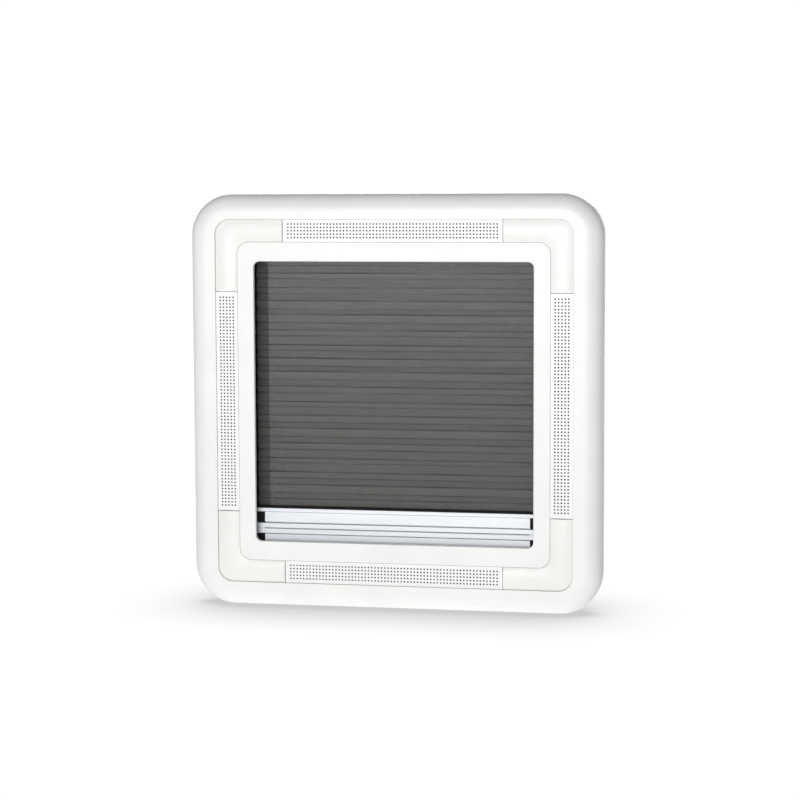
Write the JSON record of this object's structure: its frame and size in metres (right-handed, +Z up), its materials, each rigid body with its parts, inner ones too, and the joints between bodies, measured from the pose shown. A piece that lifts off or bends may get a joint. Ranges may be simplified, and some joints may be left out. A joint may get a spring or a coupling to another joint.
{
  "type": "roof vent inner frame with pleated blinds",
  "caption": "Square ceiling frame for a caravan roof vent, with perforated air strips around a window, a pleated flyscreen and a pleated blackout blind on sliding bars.",
  "frame": {"origin": "centre of the ceiling screw pattern, on the ceiling surface", "axes": "+X right, +Z up along the blinds' travel, +Y from the room into the roof, so the room side faces -Y"},
  "size_m": [0.498, 0.0885, 0.498],
  "materials": {
    "frame_plastic": "satin moulded",
    "trim_plastic": "satin moulded",
    "chassis_plastic": "extruded",
    "bracket_plastic": "moulded",
    "duct_plastic": "moulded",
    "screen_mesh": "pleated insect mesh",
    "blackout_fabric": "metallised pleated fabric",
    "bar_alloy": "anodised",
    "cap_plastic": "moulded",
    "strip_plastic": "extruded",
    "magnet": "bare magnet",
    "keeper_steel": "plated",
    "cord": "braided",
    "spring_steel": "bare",
    "screw_steel": "zinc plated"
  },
  "bodies": {
    "frame": {"front_frame": "frame_plastic", "vent_grille_top": "trim_plastic", "vent_grille_bottom": "trim_plastic", "vent_grille_left": "trim_plastic", "vent_grille_right": "trim_plastic", "corner_cover_top_right": "trim_plastic", "corner_cover_top_left": "trim_plastic", "corner_cover_bottom_left": "trim_plastic", "corner_cover_bottom_right": "trim_plastic", "top_cassette": "chassis_plastic", "bottom_cassette": "chassis_plastic", "left_rail": "chassis_plastic", "right_rail": "chassis_plastic", "corner_bracket_top_right": "bracket_plastic", "corner_bracket_top_left": "bracket_plastic", "corner_bracket_bottom_left": "bracket_plastic", "corner_bracket_bottom_right": "bracket_plastic", "inner_duct": "duct_plastic", "flyscreen": "screen_mesh", "blackout_blind": "blackout_fabric", "screen_head_strip": "strip_plastic", "blind_foot_strip": "strip_plastic", "cord_crimps": "keeper_steel", "guide_cord_left": "cord", "guide_cord_right": "cord", "cord_spring_left": "spring_steel", "cord_spring_right": "spring_steel", "chassis_screws": "screw_steel", "duct_screws": "screw_steel"},
    "screen_carriage": {"screen_bar": "bar_alloy", "screen_bar_cap_left": "cap_plastic", "screen_bar_cap_right": "cap_plastic", "screen_bar_strip": "strip_plastic", "bar_magnets": "magnet"},
    "blind_carriage": {"blind_bar": "bar_alloy", "blind_bar_cap_left": "cap_plastic", "blind_bar_cap_right": "cap_plastic", "blind_bar_strip": "strip_plastic", "bar_keepers": "keeper_steel"}
  },
  "joints": [
    {"name": "screen_slide", "type": "slide", "parent": "frame", "child": "screen_carriage", "axis": [0, 0, 1], "range_m": [0, 0.3116], "deforming": ["flyscreen"]},
    {"name": "blind_slide", "type": "slide", "parent": "frame", "child": "blind_carriage", "axis": [0, 0, 1], "range_m": [0, 0.3116], "deforming": ["blackout_blind"]}
  ],
  "couplings": [
    {"joint": "blind_slide", "follows": "screen_slide", "ratio": 1}
  ]
}
